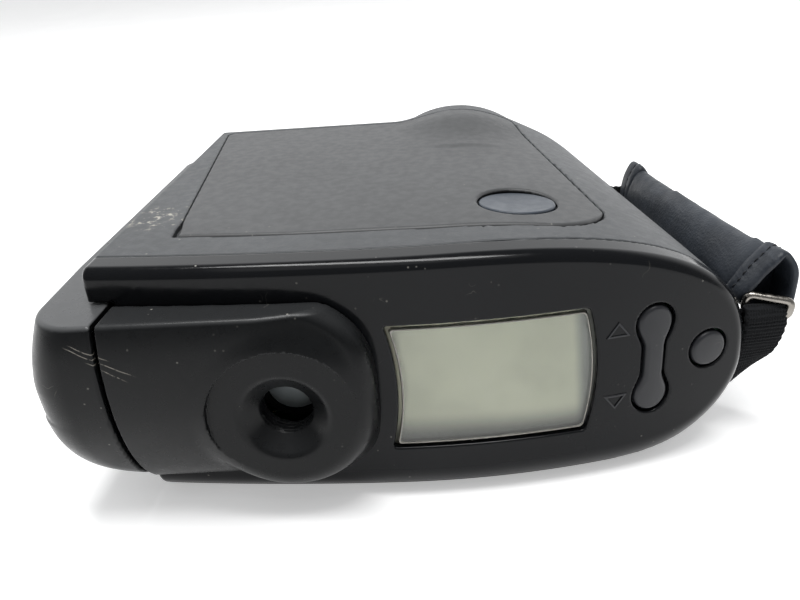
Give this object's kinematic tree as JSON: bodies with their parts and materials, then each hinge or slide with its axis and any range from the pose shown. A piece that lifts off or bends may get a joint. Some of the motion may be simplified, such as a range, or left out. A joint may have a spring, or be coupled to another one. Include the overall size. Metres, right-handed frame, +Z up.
{
  "type": "compact digital camera",
  "caption": "Flat binocular-shaped digital camera with rear eyepiece, status display, buttons, front lens and flash, end battery door and padded hand strap.",
  "frame": {"origin": "middle of the flat base that the camera stands on, midway along the body without its strap", "axes": "+X to the right seen from the back (towards the hand strap), +Y from the eyepiece to the lens, +Z up"},
  "size_m": [0.165, 0.137, 0.0599],
  "materials": {
    "shell": "matte dark grey moulded plastic, fine grain",
    "bezel": "semi-gloss black moulded plastic",
    "satin": "satin black moulded plastic",
    "panel": "matte grey rubber-like coating",
    "button": "dark grey satin plastic",
    "shutter": "blue-grey satin plastic",
    "clear": "clear window plastic and glass",
    "display": "grey-green reflective liquid-crystal display",
    "board": "green solder-masked circuit board",
    "inner": "matt black inner moulding",
    "steel": "bright nickel-plated steel",
    "brass": "turned brass",
    "cell": "plain sleeve round a dry cell",
    "leather": "dark blue-grey smooth leather-look sleeve",
    "webbing": "black ribbed webbing"
  },
  "bodies": {
    "camera_body": {"top_shell": "shell", "bottom_shell": "shell", "rear_bezel": "bezel", "eyepiece_pod": "satin", "top_panel": "panel", "display_window": "clear", "display_module": "display", "control_board": "board", "eye_tube": "inner", "lens_ring": "bezel", "lens_barrel": "inner", "lens_front_element": "clear", "lens_rear_element": "clear", "image_sensor": "inner", "sensor_board": "board", "eyepiece_lens": "clear", "finder_lens": "clear", "finder_window": "clear", "flash_window": "clear", "flash_reflector": "steel", "flash_tube": "clear", "flash_capacitor": "inner", "light_sensor_window": "clear", "timer_lamp": "clear", "up_switch": "inner", "down_switch": "inner", "select_switch": "steel", "release_board": "board", "release_switch": "inner", "main_board": "board", "processor_chip": "inner", "memory_chip": "inner", "flash_transformer": "inner", "serial_port": "inner", "power_jack": "inner", "battery_tray": "inner", "battery_cell_1": "cell", "battery_cell_2": "cell", "battery_cell_3": "cell", "battery_cell_4": "cell", "rear_contact": "steel", "front_contact": "steel", "hinge_pin_rear": "steel", "hinge_pin_front": "steel", "tripod_bush": "brass", "case_screw_1": "steel", "case_screw_2": "steel", "case_screw_3": "steel", "case_screw_4": "steel", "strap_sleeve": "leather", "front_strap_tape": "webbing", "rear_strap_tape": "webbing", "strap_ring": "steel"},
    "battery_door": {"battery_door": "satin"},
    "shutter_button": {"shutter_button": "shutter"},
    "rocker_button": {"rocker_button": "button"},
    "select_button": {"select_button": "button"},
    "port_cover": {"port_cover": "satin"}
  },
  "joints": [
    {"name": "battery_door_hinge", "type": "hinge", "parent": "camera_body", "child": "battery_door", "pos_m": [-0.0633, 0, 0.046], "axis": [0, 1, 0], "range_deg": [0, 70]},
    {"name": "shutter_press", "type": "slide", "parent": "camera_body", "child": "shutter_button", "axis": [0, 0, -1], "range_m": [0, 0.0009], "stiffness_N_per_m": 500, "springref_m": -0.0012},
    {"name": "rocker_tilt", "type": "hinge", "parent": "camera_body", "child": "rocker_button", "pos_m": [0.05482, -0.04814, 0.0281], "axis": [0.9614, 0.2752, 0], "range_deg": [-3, 3], "stiffness_Nm_per_rad": 0.12},
    {"name": "select_press", "type": "slide", "parent": "camera_body", "child": "select_button", "axis": [-0.3346, 0.9423, 0], "range_m": [0, 0.0007], "stiffness_N_per_m": 500, "springref_m": -0.0008},
    {"name": "port_cover_hinge", "type": "hinge", "parent": "camera_body", "child": "port_cover", "pos_m": [-0.036, 0.0611, 0.009], "axis": [-1, 0, 0], "range_deg": [0, 95]}
  ]
}
